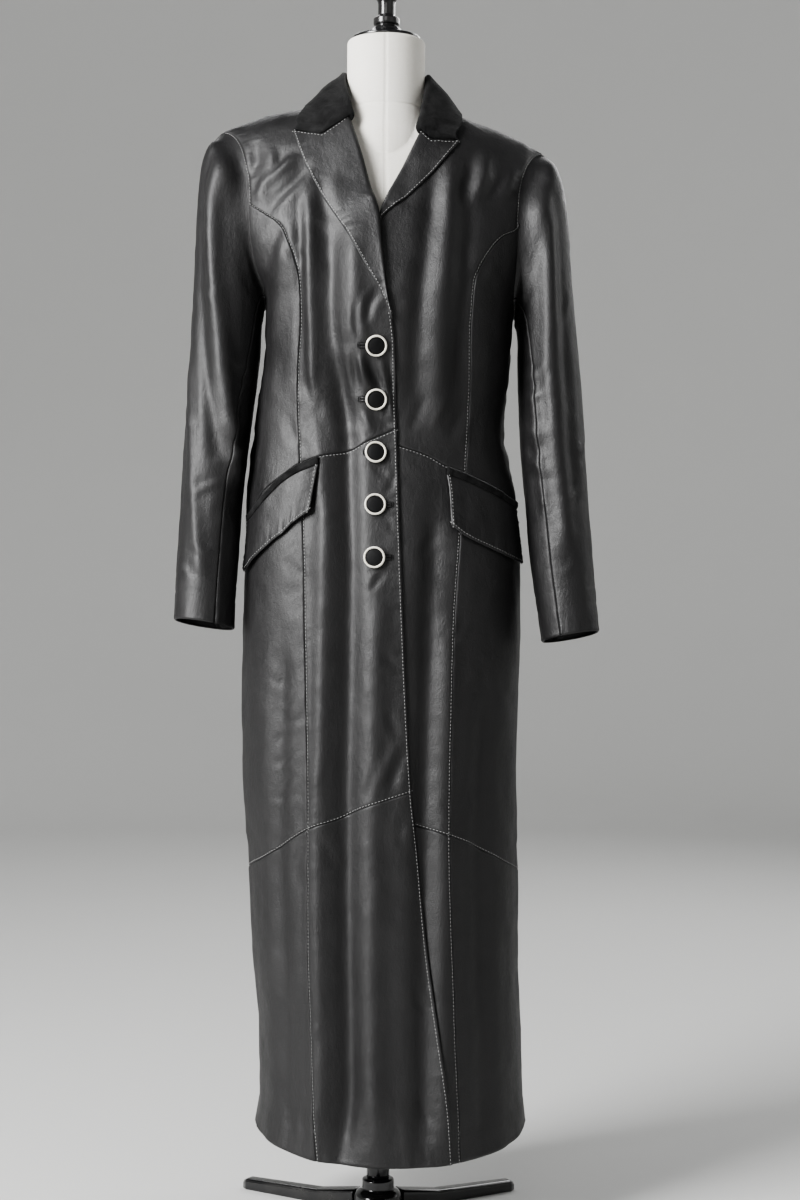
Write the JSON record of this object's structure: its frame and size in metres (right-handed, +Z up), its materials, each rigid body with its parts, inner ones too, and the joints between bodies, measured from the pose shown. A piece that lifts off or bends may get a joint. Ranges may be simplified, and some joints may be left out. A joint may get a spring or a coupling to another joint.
{
  "type": "leather coat on a dress form",
  "caption": "Long fitted leather coat with peaked lapels, velvet collar and flap pockets, buttoned on a limbless dress form with a tripod stand; the coat's walls are hollow and open.",
  "frame": {"origin": "on the floor under the middle of the stand's hub and post", "axes": "+Z up, the coat faces -Y, the wearer's left is at +X"},
  "size_m": [0.5627, 0.3629, 1.675],
  "materials": {
    "leather": "smooth black nappa, satin",
    "velvet": "matte black velvet",
    "button_cloth": "matte black covered button face",
    "button_rim": "ivory, polished",
    "form_cloth": "cream cotton, plain weave",
    "black_metal": "gloss black"
  },
  "bodies": {
    "root": {"skirt_lower_front_right": "leather", "skirt_upper_front_right": "leather", "bodice_front_right": "leather", "skirt_lower_side_right": "leather", "skirt_upper_side_right": "leather", "bodice_side_right": "leather", "back_lower_right": "leather", "back_upper_right": "leather", "sleeve_upper_right": "leather", "sleeve_under_right": "leather", "lapel_right": "leather", "pocket_flap_right": "leather", "pocket_welt_right": "velvet", "skirt_lower_front_left": "leather", "skirt_upper_front_left": "leather", "bodice_front_left": "leather", "skirt_lower_side_left": "leather", "skirt_upper_side_left": "leather", "bodice_side_left": "leather", "back_lower_left": "leather", "back_upper_left": "leather", "sleeve_upper_left": "leather", "sleeve_under_left": "leather", "lapel_left": "leather", "pocket_flap_left": "leather", "pocket_welt_left": "velvet", "collar": "velvet", "button_face_1": "button_cloth", "button_rim_1": "button_rim", "button_face_2": "button_cloth", "button_rim_2": "button_rim", "button_face_3": "button_cloth", "button_rim_3": "button_rim", "button_face_4": "button_cloth", "button_rim_4": "button_rim", "button_face_5": "button_cloth", "button_rim_5": "button_rim", "form_body": "form_cloth", "neck_cap": "black_metal", "post": "black_metal", "base_hub": "black_metal", "base_leg_1": "black_metal", "base_leg_2": "black_metal", "base_leg_3": "black_metal"}
  },
  "joints": []
}
